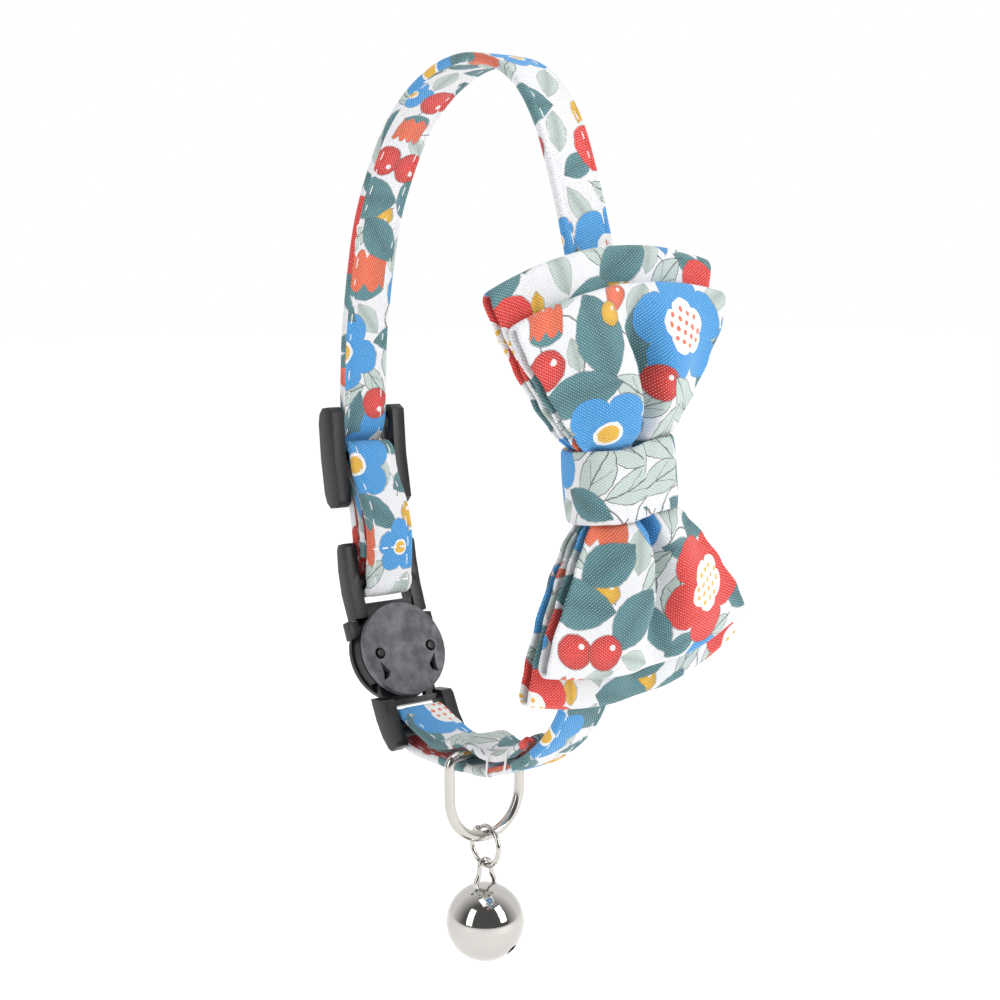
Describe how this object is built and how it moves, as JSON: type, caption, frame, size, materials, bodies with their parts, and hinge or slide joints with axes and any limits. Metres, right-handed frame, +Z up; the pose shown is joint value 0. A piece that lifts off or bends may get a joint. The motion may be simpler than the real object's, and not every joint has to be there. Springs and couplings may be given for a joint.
{
  "type": "pet bow tie collar",
  "caption": "Printed cotton collar loop for a small pet with a two-layer bow, slider, round breakaway buckle, D-ring and a hanging bell.",
  "frame": {"origin": "middle of the neck opening, on the collar's neck axis, where the collar sits round a neck or a form", "axes": "+Z up, towards the top of the hanging loop; +Y along the neck axis; +X towards the bow"},
  "size_m": [0.0737, 0.0442, 0.1391],
  "materials": {
    "strap_cotton": "plain weave cotton with a floral print, folded and stitched along both edges",
    "bow_cotton": "plain weave cotton with a floral print",
    "slider_plastic": "satin moulded plastic",
    "buckle_plastic": "satin moulded plastic",
    "cover_plastic": "finely sparked moulded plastic",
    "ring_metal": "nickel plated steel wire",
    "bell_metal": "nickel plated, polished"
  },
  "bodies": {
    "collar": {"strap": "strap_cotton", "slider": "slider_plastic", "buckle_upper": "buckle_plastic", "buckle_lower": "buckle_plastic", "buckle_cover": "cover_plastic", "bow_back": "bow_cotton", "bow_front": "bow_cotton", "bow_knot": "bow_cotton"},
    "d_ring": {"d_ring": "ring_metal"},
    "jump_ring": {"jump_ring": "ring_metal"},
    "bell": {"bell": "bell_metal"}
  },
  "joints": [
    {"name": "d_ring_swing", "type": "hinge", "parent": "collar", "child": "d_ring", "pos_m": [0.0032, 0, -0.0517], "axis": [0, 1, 0], "range_deg": [-35, 35]},
    {"name": "jump_ring_swing", "type": "hinge", "parent": "d_ring", "child": "jump_ring", "pos_m": [0.0032, 0, -0.0653], "axis": [0, 1, 0], "range_deg": [-45, 45]},
    {"name": "bell_swing", "type": "hinge", "parent": "jump_ring", "child": "bell", "pos_m": [0.0032, 0, -0.07006], "axis": [1, 0, 0], "range_deg": [-35, 35]}
  ]
}
